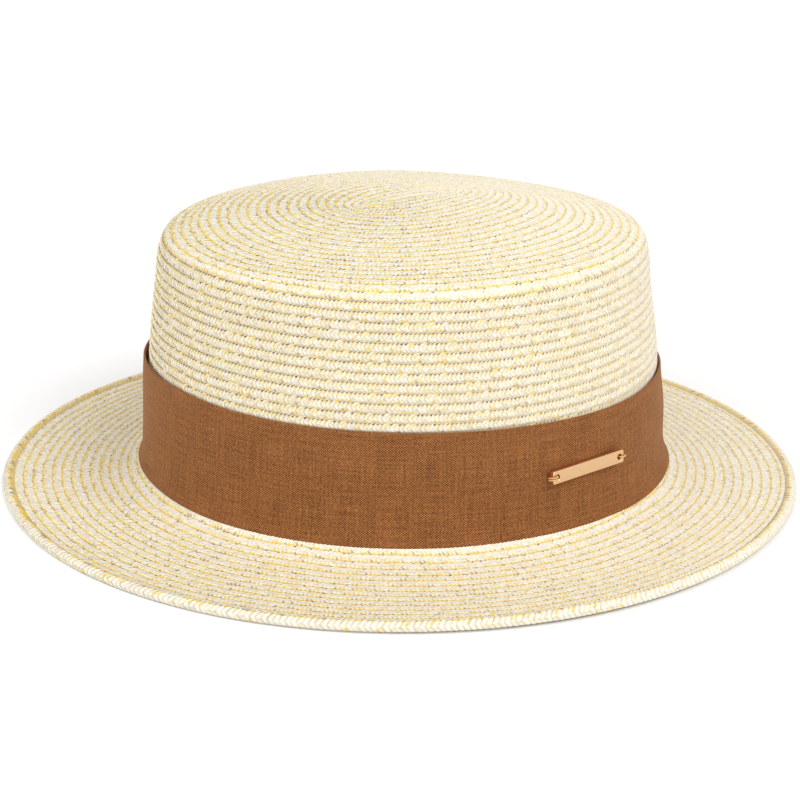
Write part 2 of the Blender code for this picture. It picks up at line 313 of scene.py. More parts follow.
# What a strand draws by chance: least values, and how much is added at most
STRAW_LEAST = 0.96         # brightness
STRAW_SPREAD = 0.07
LINE_LEAST = 0.4           # of its look's line
LINE_SPREAD = 1.2
MOTTLE = 0.05              # brightness at each vertex
ROOT_LEAST = 0.4           # strength of a golden root at its far end
STROKE_LEAST = 0.5         # strength of a golden stroke

# Blends of the shapes. Lengths on the crown run from the middle of its top
SHOULDER_AT = 74.6 * MM
SHOULDER_SPREAD = 9.0 * MM
CUT_INWARD = 0.6           # how much of the shoulder's cut goes inward, and how much down
CUT_DOWNWARD = 0.8
ASKEW_WHOLE = 20.0 * MM    # the top's middle lies aside up to here, and no more after there
ASKEW_GONE = 75.0 * MM
TURN_GONE = 55.0 * MM
STRAIGHT_GONE = 60.0 * MM
STRAIGHT_FADE = 45.0 * MM
LUMP = 0.10 * MM
WAVE_START = 108.0 * MM    # half-width where the brim's waves begin, and how far on they are whole
WAVE_REACH = 25.0 * MM
DIP_HEIGHT = 3.0 * MM      # lower than this a dip in the brim is less
FLOOR_GAP = 0.1 * MM
DRIFT_START = 6.0 * MM
SPACED_AT = 0.58           # the place across a row where its strands are a pitch apart
SPACING_STEPS = 720        # a turn
TABLE_STEP = 3.0           # degrees
NARROWEST = 0.3 * MM       # the oval's normal stays whole down to here

# The stretches of braid, in turns of the spiral
TIP_START = -2.22
TIP_END = 17.3
SHOULDER_END = 21.3
WALL_END = 36.0            # under the band
INSIDE_START = -1.2
INSIDE_SHORT = 0.2         # how much the rows inside the crown stop before its foot
BRIM_START = -0.95
BRIM_SHORT = 0.1

# The cores between the faces
AROUND = 360               # points round
RING_STEP = 2.5 * MM
TOP_START = 1.0 * MM       # where the crown's core is closed by a cap
PLAIN_STRAW = 0.85 * STRAW
EDGE_CORE = -0.45 * MM
EDGE_RINGS = (Section(134.4, 0.05), Section(132.7, 0.4))  # the edge row's core closes below on these
CELL_MARGIN = 0.12         # share of a cell of the bake's map


def smoothstep(x):
    """0 up to x = 0 and 1 from x = 1 on, with a soft way between."""
    x = np.clip(x, 0.0, 1.0)
    return x * x * (3.0 - 2.0 * x)


def smooth_path(sections, samples=60):
    """A smooth line through the sections: running length, half-width, height and normal, as arrays.

    The normal is on the left of the way along the line: outward where the line runs out and down.
    """
    p = np.array(sections) * MM
    p = np.vstack([2.0 * p[0] - p[1], p, 2.0 * p[-1] - p[-2]])
    t = np.linspace(0.0, 1.0, samples, endpoint=False)[:, None]
    pieces = []
    for a, b, c, d in zip(p, p[1:], p[2:], p[3:]):
        before, here, after = (np.linalg.norm(end - start) for start, end in ((a, b), (b, c), (c, d)))
        slope_b = ((b - a) / before * here + (c - b) / here * before) / (before + here) * here
        slope_c = ((c - b) / here * after + (d - c) / after * here) / (here + after) * here
        pieces.append((2 * t ** 3 - 3 * t ** 2 + 1) * b + (t ** 3 - 2 * t ** 2 + t) * slope_b
                      + (3 * t ** 2 - 2 * t ** 3) * c + (t ** 3 - t ** 2) * slope_c)
    line = np.vstack(pieces + [p[-2:-1]])
    length = np.concatenate([[0.0], np.cumsum(np.linalg.norm(np.diff(line, axis=0), axis=1))])
    run = np.gradient(line, axis=0)
    run /= np.linalg.norm(run, axis=1)[:, None]
    return length, line[:, 0], line[:, 1], -run[:, 1], run[:, 0]


def at(path, s):
    """Half-width, height and normal of a path at running lengths s."""
    return tuple(np.interp(s, path[0], values) for values in path[1:])


def round_table(rows, angle, column, reach=2):
    """A table's column at the angles, in metres, going smoothly round the oval."""
    first = rows[0].angle
    degrees = (np.degrees(angle) - first) % 360.0 + first
    knots = [row.angle for row in rows] + [first + 360]
    values = [row[column] for row in rows] + [rows[0][column]]
    fine = np.arange(first, first + 361.0, TABLE_STEP)
    plain = np.interp(fine, knots, values)[:-1]
    soft = sum(np.roll(plain, shift) for shift in range(-reach, reach + 1)) / (2 * reach + 1)
    return np.interp(degrees, fine, np.append(soft, soft[0])) * MM


def oval(angle, half_width, extra, out, lift):
    """X and Y of points on an oval and the share of a lift along its normal."""
    x = (half_width + extra) * np.cos(angle)
    y = half_width * np.sin(angle)
    normal_x = np.cos(angle) * np.maximum(half_width, NARROWEST)
    normal_y = np.sin(angle) * (half_width + extra)
    size = np.hypot(normal_x, normal_y)
    return x + lift * out * normal_x / size, y + lift * out * normal_y / size


CROWN_PATH = smooth_path(CROWN_FACE)
BRIM_PATH = smooth_path(BRIM_FACE)
EDGE_PATH = smooth_path(EDGE_FACE)


def lumps(angle, s, waves, length, start):
    """A slight unevenness of the straw: waves round the oval that wind outward, whole from a start on."""
    return LUMP * np.sin(waves * angle + s / length) * smoothstep(s / start)


def crown_point(angle, s, lift):
    """Points of the crown at angles round it and lengths s from the middle of its top."""
    shift = 1.0 - smoothstep((np.abs(s) - ASKEW_WHOLE) / (ASKEW_GONE - ASKEW_WHOLE))
    half_width = at(CROWN_PATH, np.abs(s))[0] * np.sign(s)
    level = s + shift * (MIDDLE_SHIFT[0] * np.cos(angle) + MIDDLE_SHIFT[1] * np.sin(angle))
    _, height, out, up = at(CROWN_PATH, np.abs(level))
    cut = round_table(SHOULDER_CUTS, angle, 1) * np.exp(-((s - SHOULDER_AT) / SHOULDER_SPREAD) ** 2)
    half_width = half_width - CUT_INWARD * cut
    height = height - CUT_DOWNWARD * cut
    above_band = (height - BAND_TOP) / (LEAN_END - BAND_TOP)
    extra = LONG_EXTRA + (TOP_LONG_EXTRA - LONG_EXTRA) * np.clip(above_band, 0.0, 1.0)
    extra = extra + (MIDDLE_EXTRA - TOP_LONG_EXTRA) * smoothstep((STRAIGHT_GONE - s) / STRAIGHT_FADE)
    lift = lift + lumps(angle, s, 3.0, 9.0 * MM, 30.0 * MM)
    x, y = oval(angle, half_width, extra, out, lift)
    turn = MIDDLE_TURN * (1.0 - smoothstep(s / TURN_GONE))
    x, y = x * np.cos(turn) - y * np.sin(turn), x * np.sin(turn) + y * np.cos(turn)
    x = x + MIDDLE_SHIFT[0] * shift + TOP_SHIFT * smoothstep(above_band)
    y = y + MIDDLE_SHIFT[1] * shift
    return np.stack([x, y, height + lift * up], -1)


def waved(angle, half_width, height, share):
    """The brim's wave: its edge rises and falls a little and reaches out more or less, above the floor."""
    lift = round_table(BRIM_WAVES, angle, 1) * share
    low = np.clip(height / DIP_HEIGHT, 0.0, 1.0)
    height = height + np.where(lift < 0.0, lift * low, lift)
    return half_width + round_table(BRIM_WAVES, angle, 2) * share, height


def brim_point(angle, s, lift):
    """Points of the brim at angles round it and lengths s from its start under the band."""
    half_width, height, out, up = at(BRIM_PATH, s)
    share = smoothstep((half_width - WAVE_START) / WAVE_REACH)
    half_width, height = waved(angle, half_width, height, share)
    height = height + lumps(angle, s, 5.0, 11.0 * MM, 10.0 * MM) * (1.0 - share)
    x, y = oval(angle, half_width, LONG_EXTRA, out, lift)
    return np.stack([x, y, np.maximum(height + lift * up, FLOOR_GAP)], -1)


def edge_point(angle, s, lift):
    """Points of the edge row at angles round it and lengths s over it, from its inner edge to the floor."""
    half_width, height, out, up = at(EDGE_PATH, s)
    half_width, height = waved(angle, half_width, height, 1.0)
    x, y = oval(angle, half_width, LONG_EXTRA, out, lift)
    return np.stack([x, y, height + lift * up], -1)


def crown_course(angle, s):
    """How far outside the even spiral the crown's rows lie there."""
    lengths = [row.length_mm * MM for row in CROWN_COURSE]
    columns = np.array(CROWN_COURSE).T[1:] * MM
    even, cos1, sin1, cos2, sin2, cos3, sin3 = (np.interp(np.abs(s), lengths, column) for column in columns)
    return (even + cos1 * np.cos(angle) + sin1 * np.sin(angle) + cos2 * np.cos(2.0 * angle)
            + sin2 * np.sin(2.0 * angle) + cos3 * np.cos(3.0 * angle) + sin3 * np.sin(3.0 * angle))


def crown_place(turn, across, lift):
    """Points of the crown's rows: crown_point at turns of the spiral and places across the row."""
    angle = FRONT + 2.0 * math.pi * turn
    s = ROW * (turn + across + CROWN_PHASE)
    even = s
    for _ in range(3):  # the course is looked up where it leads to
        s = even + crown_course(angle, s)
    return crown_point(angle, s, lift)


def brim_place(turn, across, lift):
    """Points of the brim's rows, which keep half of their drift at the edge."""
    angle = FRONT + 2.0 * math.pi * turn
    s = ROW * (turn + across + BRIM_PHASE)
    fade = 1.0 - 0.5 * smoothstep(s / BRIM_PATH[0][-1])
    s = s + round_table(BRIM_COURSE, angle, 1, 1) * fade * smoothstep(s / DRIFT_START)
    return brim_point(angle, np.clip(s, 0.0, BRIM_PATH[0][-1]), lift)


def edge_place(turn, across, lift):
    """Points of the edge row, one turn that closes."""
    return edge_point(FRONT + 2.0 * math.pi * turn, across * EDGE_PATH[0][-1], lift)


def new_material(name, colour=(0.8, 0.8, 0.8), roughness=0.5, metallic=0.0):
    """A material with its Principled shader: (material, shader, node tree)."""
    material = bpy.data.materials.new(name)
    material.use_nodes = True
    shader = material.node_tree.nodes["Principled BSDF"]
    shader.inputs["Base Color"].default_value = (*colour, 1.0)
    shader.inputs["Roughness"].default_value = roughness
    shader.inputs["Metallic"].default_value = metallic
    return material, shader, material.node_tree


def object_noise(tree, scale, detail=2.0):
    """Noise all through a piece, in so many patches to a metre."""
    place = tree.nodes.new("ShaderNodeTexCoord")
    noise = tree.nodes.new("ShaderNodeTexNoise")
    noise.inputs["Scale"].default_value = scale
    noise.inputs["Detail"].default_value = detail
    tree.links.new(place.outputs["Object"], noise.inputs["Vector"])
    return noise.outputs["Fac"]


def mapped(tree, value, source=(0.0, 1.0), target=(0.0, 1.0)):
    """A value brought from one range to another."""
    node = tree.nodes.new("ShaderNodeMapRange")
    for name, number in zip(("From Min", "From Max", "To Min", "To Max"), source + target):
        node.inputs[name].default_value = number
    tree.links.new(value, node.inputs["Value"])
    return node.outputs["Result"]


def ramped(tree, value, dark, light, ends=(0.0, 1.0)):
    """A colour that goes from dark to light as the value goes from one end to the other."""
    ramp = tree.nodes.new("ShaderNodeValToRGB")
    for element, end, colour in zip(ramp.color_ramp.elements, ends, (dark, light)):
        element.position = end
        element.color = (*colour, 1.0)
    tree.links.new(value, ramp.inputs["Fac"])
    return ramp.outputs["Color"]


def add_bump(tree, shader, height, strength, distance):
    """Fine relief on a material."""
    bump = tree.nodes.new("ShaderNodeBump")
    bump.inputs["Strength"].default_value = strength
    bump.inputs["Distance"].default_value = distance
    tree.links.new(height, bump.inputs["Height"])
    tree.links.new(bump.outputs["Normal"], shader.inputs["Normal"])


def new_object(name, data):
    """An object in the scene."""
    thing = bpy.data.objects.new(name, data)
    bpy.context.scene.collection.objects.link(thing)
    return thing


def new_piece(name, vertices, faces, material):
    """A mesh piece from arrays of vertices and faces, in the scene and riding on the hat."""
    mesh = bpy.data.meshes.new(name)
    mesh.from_pydata(vertices, [], faces)
    mesh.update()
    mesh.shade_smooth()
    mesh.materials.append(material)
    piece = new_object(name, mesh)
    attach(piece, "root")
    return piece


def grid_faces(count, rows, columns):
    """Quads of count patches that each have rows by columns vertices."""
    patch = []
    for row in range(rows - 1):
        for column in range(columns - 1):
            corner = row * columns + column
            patch.append((corner, corner + 1, corner + columns + 1, corner + columns))
    offsets = np.arange(count)[:, None, None] * rows * columns
    return (np.array(patch)[None] + offsets).reshape(-1, 4)


def turns_between(place, first, last, pitch):
    """Strand places along a braid, a pitch apart: (turns, metres to a turn there)."""
    fine = np.linspace(first, last, int((last - first) * SPACING_STEPS) + 2)
    line = place(fine, SPACED_AT, 0.0)
    length = np.concatenate([[0.0], np.cumsum(np.linalg.norm(np.diff(line, axis=0), axis=1))])
    count = max(1, int(round(length[-1] / pitch)))
    turns = np.interp((np.arange(count) + 0.5) * length[-1] / count, length, fine)
    speed = np.interp(turns, fine, np.gradient(length, fine))
    return turns, speed


def strand_colours(count, look, inner, open_):
    """Colours at a patch's vertices, with painted shade in its gaps and where it goes under, and a speck's
    colour and strength there: gold, ochre or a hole painted dark as shade.
    """
    knots = look.inner if inner else look.outer
    colours = np.empty((count, len(knots), len(look.columns), 3))
    colours[:] = (STRAW * (STRAW_LEAST + STRAW_SPREAD * RNG.random((count, 1))))[:, None, None, :]
    line = look.line * (LINE_LEAST + LINE_SPREAD * RNG.random(count))
    line = np.clip(line, 0.0, 1.0)[:, None, None]
    # painted shade: the gap beside the strand, its last column, is darkened toward SHADED
    colours[:, :, -1] = colours[:, :, -1] * (1.0 - line) + SHADED * line
    # painted shade where the strand goes under a row: an inner strand's root is ochre, partly the straw's own
    # golden-brown and partly shade, and an outer strand's end is shaded
    if inner:
        colours[:, 0] = OCHRE
        colours[:, 1] = ROOT_OCHRE_AND_SHADE
    else:
        colours[:, -1] = SHADED_END
    colours *= 1.0 + MOTTLE * RNG.standard_normal(colours.shape[:3])[..., None]
    specks = np.zeros((count, len(knots), len(look.columns), 4))
    kind = RNG.random((count, 1, 1, 1))
    golden = np.where(kind < OCHRE_SHARE + PALE_GOLD_SHARE, PALE_GOLD, GOLD)
    specks[..., :3] = np.where(kind < OCHRE_SHARE, DEEP_OCHRE, golden)
    rooted = RNG.random(count) < look.gold_roots * (1.0 if inner else look.gold_ends)
    near, far = (1, 2) if inner else (-1, -2)  # the knots of the root
    specks[rooted, near, :2, 3] = 1.0
    specks[rooted, far, :2, 3] = ROOT_LEAST + (1.0 - ROOT_LEAST) * RNG.random((np.count_nonzero(rooted), 1))
    if inner:
        stroked = RNG.random(count) < look.gold_strokes
        strength = RNG.random((np.count_nonzero(stroked), 1))
        specks[stroked, 2:-1, :2, :3] = PALE_GOLD
        specks[stroked, 2:-1, 0, 3] = STROKE_LEAST + (1.0 - STROKE_LEAST) * strength
        specks[stroked, 3:-1, 1, 3] = STROKE_MIDDLE
        # the hole's specks are painted shade, from dark brown to ochre
        plain = open_ & ~stroked
        specks[plain, 3:4, :2, :3] = HOLE_SHADE
        specks[plain, 3:4, :2, 3] = HOLE_TIPWARD
        dark = RNG.random((np.count_nonzero(open_), 1, 1, 1)) ** 0.5
        specks[open_, 1:3, :2, :3] = HOLE_PALEST * (1.0 - dark) + HOLE_DIMMEST * dark
        specks[open_, 2, :2, 3] = 1.0
        specks[open_, 1, :2, 3] = HOLE_ROOTWARD
    else:
        flecked = RNG.random(count) < FLECK_SHARE
        specks[flecked, 1, :2, :3] = FLECK
        specks[flecked, 1, :2, 3] = FLECK_STRENGTH
    specks[:, :, 1, 3] *= MIDDLE_STRENGTH
    return np.clip(colours, 0.0, PALEST), specks


def strand_patches(place, turns, speed, pitch, look, inner):
    """Vertices, colours and specks of one strand patch at every turn."""
    count = len(turns)
    knots = look.inner if inner else look.outer
    across = np.array([knot.across for knot in knots])[None, :, None]
    along = np.array([knot.along_mm for knot in knots])[None, :, None] * MM
    lift = np.array([knot.lift_mm for knot in knots])[None, :, None] * MM
    width = np.array([knot.width for knot in knots])[None, :, None]
    beside = np.array([column.along for column in look.columns])[None, None, :]
    dome = np.array([column.lift_mm for column in look.columns])[None, None, :] * MM
    shift = (RNG.random((count, 1, 1)) - 0.5) * RAGGED * 2.0 * MM
    rise = (RNG.random((count, 1, 1)) - 0.5) * RAGGED * MM
    open_ = RNG.random(count) < look.holes
    lift = lift + rise + dome
    if inner:
        lift[open_, 2, 0] -= HOLE_DEPTH  # the strand dips beside its root
        across = np.repeat(across, count, axis=0)
        across[:, 1, 0] += RNG.random(count) * RAGGED
    turn = turns[:, None, None] - (along + shift + beside * pitch * width) / speed[:, None, None]
    vertices = place(turn, np.broadcast_to(across, turn.shape), np.broadcast_to(lift, turn.shape))
    return vertices, *strand_colours(count, look, inner, open_)


def bake_cells(mesh, count, sizes):
    """One small cell of the bake's map for each patch."""
    wide = math.ceil(math.sqrt(2 * count))
    places = []
    for sheet, (rows, columns) in enumerate(sizes):
        cell = np.arange(count) + sheet * count
        corner = np.stack([cell % wide, cell // wide], -1)[:, None, None, :] / wide
        steps = (np.linspace(CELL_MARGIN, 1.0 - CELL_MARGIN, number) for number in (columns, rows))
        inside = np.stack(np.meshgrid(*steps), -1) / wide
        places.append((corner + inside[None]).reshape(-1, 2))
    corners = np.empty(len(mesh.loops), dtype=np.int32)
    mesh.loops.foreach_get("vertex_index", corners)
    layer = mesh.uv_layers.new(name="OFBake")
    layer.uv.foreach_set("vector", np.concatenate(places)[corners].astype(np.float32).ravel())


def add_colours(mesh, name, colours):
    """A layer of colours at the mesh's vertices, with or without a fourth value for the strength."""
    layer = mesh.color_attributes.new(name, "FLOAT_COLOR", "POINT")
    values = np.ones((len(mesh.vertices), 4))
    values[:, :colours.shape[-1]] = colours
    layer.data.foreach_set("color", values.astype(np.float32).ravel())


def braid_piece(name, place, first, last, pitch, look, material):
    """A stretch of plait from one turn to another: patches with a colour and a speck at every vertex."""
    turns, speed = turns_between(place, first, last, pitch)
    sheets = [strand_patches(place, turns, speed, pitch, look, inner) for inner in (True, False)]
    vertices = np.concatenate([sheet[0].reshape(-1, 3) for sheet in sheets])
    colours = np.concatenate([sheet[1].reshape(-1, 3) for sheet in sheets])
    specks = np.concatenate([sheet[2].reshape(-1, 4) for sheet in sheets])
    count = len(turns)
    sizes = [(len(knots), len(look.columns)) for knots in (look.inner, look.outer)]
    inner_faces, outer_faces = (grid_faces(count, *size) for size in sizes)
    faces = np.concatenate([inner_faces, outer_faces + count * math.prod(sizes[0])])
    if look is BACK_LOOK:
        faces = faces[:, ::-1]  # these strands are seen from the other side
    piece = new_piece(name, vertices, faces, material)
    add_colours(piece.data, "tint", colours)
    add_colours(piece.data, "speck", specks)
    bake_cells(piece.data, count, sizes)


def ring_shell(name, loops, closed, material):
    """A closed body from loops of points round the hat; an open one gets a flat cap at both ends."""
    vertices = np.concatenate(loops)
    rings, around = len(loops), len(loops[0])
    ring, side = np.meshgrid(np.arange(rings if closed else rings - 1), np.arange(around), indexing="ij")
    after = (ring + 1) % rings
    beyond = (side + 1) % around
    faces = np.stack([ring * around + side, ring * around + beyond, after * around + beyond,
                      after * around + side], -1).reshape(-1, 4).tolist()
    if not closed:
        faces.append(list(range(around))[::-1])
        faces.append(list(range((rings - 1) * around, rings * around)))
    piece = new_piece(name, vertices, faces, material)
    body = bmesh.new()
    body.from_mesh(piece.data)
    bmesh.ops.recalc_face_normals(body, faces=body.faces)
    body.to_mesh(piece.data)
    body.free()
    return piece


def straw_material():
    """Pale paper straw: the strand's colour under its specks, a little mottled, with fine fibres."""
    material, shader, tree = new_material("braided_straw", roughness=0.62)
    tint = tree.nodes.new("ShaderNodeVertexColor")
    tint.layer_name = "tint"
    speck = tree.nodes.new("ShaderNodeVertexColor")
    speck.layer_name = "speck"
    both = tree.nodes.new("ShaderNodeMix")
    both.data_type = "RGBA"
    factor, under, over = both.inputs[0], both.inputs[6], both.inputs[7]
    tree.links.new(mapped(tree, speck.outputs["Alpha"], source=(SPECK_FROM, SPECK_FULL)), factor)
    tree.links.new(tint.outputs["Color"], under)
    tree.links.new(speck.outputs["Color"], over)
    times = tree.nodes.new("ShaderNodeVectorMath")
    times.operation = "SCALE"
    shade = mapped(tree, object_noise(tree, 900.0), source=(0.3, 0.7), target=(0.88, 1.06))
    tree.links.new(both.outputs[2], times.inputs[0])
    tree.links.new(shade, times.inputs["Scale"])
    tree.links.new(times.outputs["Vector"], shader.inputs["Base Color"])
    add_bump(tree, shader, object_noise(tree, 4000.0, 3.0), 0.25, 0.05 * MM)
    return material


def painted_shadow_material():
    """What shows through the holes between the strands: straw in shadow, painted as a dark colour."""
    material, shader, tree = new_material("straw_between_painted_shadow", roughness=0.85)
    colour = ramped(tree, object_noise(tree, 700.0), (0.02, 0.01, 0.003), (0.10, 0.055, 0.018))
    tree.links.new(colour, shader.inputs["Base Color"])
    return material


def plain_colours(mesh):
    """Plain straw without specks all over."""
    add_colours(mesh, "tint", np.tile(PLAIN_STRAW, (len(mesh.vertices), 1)))
    add_colours(mesh, "speck", np.zeros((len(mesh.vertices), 4)))


def straw_inside(core, outer_rings, material):
    """Plain straw for a core's faces past those outer rings: its edge and its inner side."""
    core.data.materials.append(material)
    for polygon in core.data.polygons[outer_rings * AROUND:]:
        polygon.material_index = 1
    plain_colours(core.data)


def core_loops(point, lengths, lift):
    """Loops of points round the hat at those lengths, lifted off the outer face."""
    angle = np.linspace(0.0, 2.0 * math.pi, AROUND, endpoint=False)
    return [point(angle, np.full(AROUND, s), np.full(AROUND, lift)) for s in lengths]


def build_straw():
    """The three straw parts: a core between the strands of both faces, and the plait on it."""
    straw = straw_material()
    # the cores' outer faces carry painted shadow, the dark seen through the holes
    between = painted_shadow_material()

    # Crown
    foot = CROWN_PATH[0][-1]
    steps = np.concatenate([np.arange(TOP_START, foot, RING_STEP), [foot]])
    loops = core_loops(crown_point, steps, CORE_OUTSIDE) + core_loops(crown_point, steps[::-1], CORE_INSIDE)
    crown_core = ring_shell("crown_core", loops, False, between)
    straw_inside(crown_core, len(steps) - 1, straw)
    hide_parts("crown")
    braid_piece("tip_braid", crown_place, TIP_START, TIP_END, PITCH, FLAT_LOOK, straw)
    braid_piece("shoulder_braid", crown_place, TIP_END, SHOULDER_END, PITCH, SHOULDER_LOOK, straw)
    braid_piece("wall_braid", crown_place, SHOULDER_END, WALL_END, PITCH, WALL_LOOK, straw)
    last_turn = foot / ROW - CROWN_PHASE - INSIDE_SHORT
    braid_piece("crown_inside_braid", crown_place, INSIDE_START, last_turn, PITCH, BACK_LOOK, straw)

    # Brim
    end = BRIM_PATH[0][-1]
    steps = np.concatenate([np.arange(0.0, end, RING_STEP), [end]])
    loops = core_loops(brim_point, steps, CORE_OUTSIDE) + core_loops(brim_point, steps[::-1], CORE_INSIDE)
    brim_core = ring_shell("brim_core", loops, True, between)
    straw_inside(brim_core, len(steps) - 1, straw)
    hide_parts("brim")
    last_turn = end / ROW - BRIM_PHASE - BRIM_SHORT
    braid_piece("brim_braid", brim_place, BRIM_START, last_turn, PITCH, FLAT_LOOK, straw)
    braid_piece("brim_underside_braid", brim_place, BRIM_START, last_turn, PITCH, BACK_LOOK, straw)

    # Edge row
    loops = core_loops(edge_point, np.linspace(0.0, EDGE_PATH[0][-1], 9), EDGE_CORE)
    angle = np.linspace(0.0, 2.0 * math.pi, AROUND, endpoint=False)
    for ring in EDGE_RINGS:
        x, y = oval(angle, ring.half_width * MM, LONG_EXTRA, 0.0, 0.0)
        loops.append(np.stack([x, y, np.full(AROUND, ring.height * MM)], -1))
    edge_core = ring_shell("edge_core", loops, True, straw)
    plain_colours(edge_core.data)
    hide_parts("edge_braid")
    braid_piece("edge_strands", edge_place, 0.0, 1.0, EDGE_PITCH, EDGE_LOOK, straw)


CLOTH = 0.8 * MM
WARP_THREAD = 0.48 * MM
WEFT_THREAD = 0.41 * MM
BAND_AROUND = 720
BAND_LENGTH = 0.585        # the way round
BAND_PATH = smooth_path(BAND_FACE)
TOP_WAVES_FROM = 27.0 * MM     # the top's waves reach in and out from here up
BOTTOM_WAVES_TO = 18.0 * MM    # and the bottom's up to here
BOTTOM_WAVES_FADE = 11.0 * MM
TOP_UNSWOLLEN = 0.6            # share of the swell that the top doesn't have
PUCKER = 0.06 * MM

# The band's profile: shares of its height and how far the cloth stands out; the hem is rounded
Profile = namedtuple("Profile", "share lift_mm")
HEM = (
    Profile(0.0, -0.3), Profile(0.003, -0.08), Profile(0.012, 0.04), Profile(0.035, 0.02), Profile(0.06, 0.0),
)
BETWEEN_HEMS = np.linspace(0.1, 0.9, 17)


def band_material():
    """Brown cloth in plain weave, with thick places along its threads."""
    material, shader, tree = new_material("band_cloth", roughness=0.85)
    shader.inputs["Specular IOR Level"].default_value = 0.2
    shader.inputs["Sheen Weight"].default_value = 0.22
    shader.inputs["Sheen Tint"].default_value = (1.0, 0.62, 0.36, 1.0)
    shader.inputs["Sheen Roughness"].default_value = 0.5
    where = tree.nodes.new("ShaderNodeUVMap")
    where.uv_map = "cloth"

    def stretched(across, up, seed, detail=2.0):
        """Noise in patches of that size across and up the cloth."""
        grid = tree.nodes.new("ShaderNodeMapping")
        grid.inputs["Scale"].default_value = (1.0 / across, 1.0 / up, 1.0)
        grid.inputs["Location"].default_value = (seed, seed * 0.7, 0.0)
        tree.links.new(where.outputs["UV"], grid.inputs["Vector"])
        noise = tree.nodes.new("ShaderNodeTexNoise")
        noise.noise_dimensions = "2D"
        noise.inputs["Scale"].default_value = 1.0
        noise.inputs["Detail"].default_value = detail
        tree.links.new(grid.outputs["Vector"], noise.inputs["Vector"])
        return noise.outputs["Fac"]

    def maths(operation, a, b):
        """The result of an operation on two numbers or outputs."""
        node = tree.nodes.new("ShaderNodeMath")
        node.operation = operation
        for socket, value in zip(node.inputs, (a, b)):
            if isinstance(value, (int, float)):
                socket.default_value = value
            else:
                tree.links.new(value, socket)
        return node.outputs[0]

    split = tree.nodes.new("ShaderNodeSeparateXYZ")
    tree.links.new(where.outputs["UV"], split.inputs[0])
    warp = maths("SINE", maths("MULTIPLY", split.outputs["X"], math.pi / WARP_THREAD), 0.0)
    weft = maths("SINE", maths("MULTIPLY", split.outputs["Y"], math.pi / WEFT_THREAD), 0.0)
    weave = maths("MULTIPLY", warp, weft)
    warp_heather = stretched(0.45 * MM, 1.0 * MM, 5.0, 0.0)
    weft_heather = stretched(1.2 * MM, 0.42 * MM, 23.0, 0.0)
    heather = maths("ADD", warp_heather, weft_heather)
    weft_slub = stretched(14.0 * MM, 0.6 * MM, 3.0, 0.0)
    warp_slub = stretched(0.7 * MM, 18.0 * MM, 17.0, 0.0)
    slub = maths("ADD", weft_slub, warp_slub)
    cloud = stretched(9.0 * MM, 12.0 * MM, 31.0)
    tone = maths("ADD", maths("MULTIPLY", heather, 0.28), maths("MULTIPLY", slub, 0.20))
    tone = maths("ADD", tone, maths("MULTIPLY", weave, 0.44))
    tone = maths("ADD", tone, maths("MULTIPLY", cloud, 0.08))
    colour = ramped(tree, tone, (0.065, 0.019, 0.0045), (0.46, 0.180, 0.054), ends=(0.30, 0.81))
    tree.links.new(colour, shader.inputs["Base Color"])
    height = maths("ADD", maths("MULTIPLY", weave, 0.5), heather)
    add_bump(tree, shader, height, 0.5, 0.06 * MM)
    return material


def band_point(angle, share, lift):
    """Points of the band's outer face at angles round it and shares of its height."""
    s = share * BAND_PATH[0][-1]
    half_width, height, out, up = at(BAND_PATH, s)
    top = smoothstep((height - TOP_WAVES_FROM) / (BAND_TOP - TOP_WAVES_FROM))
    bottom = smoothstep((BOTTOM_WAVES_TO - height) / BOTTOM_WAVES_FADE)
    half_width = half_width + round_table(BAND_TOP_WAVES, angle, 2) * top
    half_width = half_width + round_table(BAND_BOTTOM_WAVES, angle, 2) * bottom
    half_width = half_width + round_table(BAND_SWELL, angle, 1) * (1.0 - TOP_UNSWOLLEN * top)
    height = height + round_table(BAND_TOP_WAVES, angle, 1) * share
    height = height + round_table(BAND_BOTTOM_WAVES, angle, 1) * (1.0 - share)
    half_width = half_width + PUCKER * np.sin(7.0 * angle + 5.0 * share) * np.sin(math.pi * share)
    x, y = oval(angle, half_width, LONG_EXTRA, -out, lift)
    return np.stack([x, y, height - lift * up], -1)


def build_band():
    """The cloth band: a closed ring of cloth with rounded hems, and its flat layout for the weave."""
    outer = list(HEM) + [Profile(share, 0.0) for share in BETWEEN_HEMS]
    outer += [Profile(1.0 - row.share, row.lift_mm) for row in reversed(HEM)]
    inner = [Profile(row.share, -CLOTH / MM - row.lift_mm) for row in reversed(outer)]
    rows = outer + inner
    angle = np.linspace(0.0, 2.0 * math.pi, BAND_AROUND, endpoint=False)
    loops = [band_point(angle, np.full(BAND_AROUND, row.share), np.full(BAND_AROUND, row.lift_mm * MM))
             for row in rows]
    band = ring_shell("band_cloth", loops, True, band_material())
    mesh = band.data
    layer = mesh.uv_layers.new(name="cloth")
    turn = np.tile(np.arange(BAND_AROUND) / BAND_AROUND * BAND_LENGTH, len(rows))
    rise = np.repeat([row.share * BAND_PATH[0][-1] for row in rows], BAND_AROUND)
    for polygon in mesh.polygons:
        turns = [turn[i] for i in polygon.vertices]
        wrap = max(turns) - min(turns) > BAND_LENGTH / 2
        for loop_index, i in zip(polygon.loop_indices, polygon.vertices):
            u = turn[i] + (BAND_LENGTH if wrap and turn[i] < BAND_LENGTH / 2 else 0.0)
            layer.uv[loop_index].vector = (u, rise[i])
    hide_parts("hat_band")


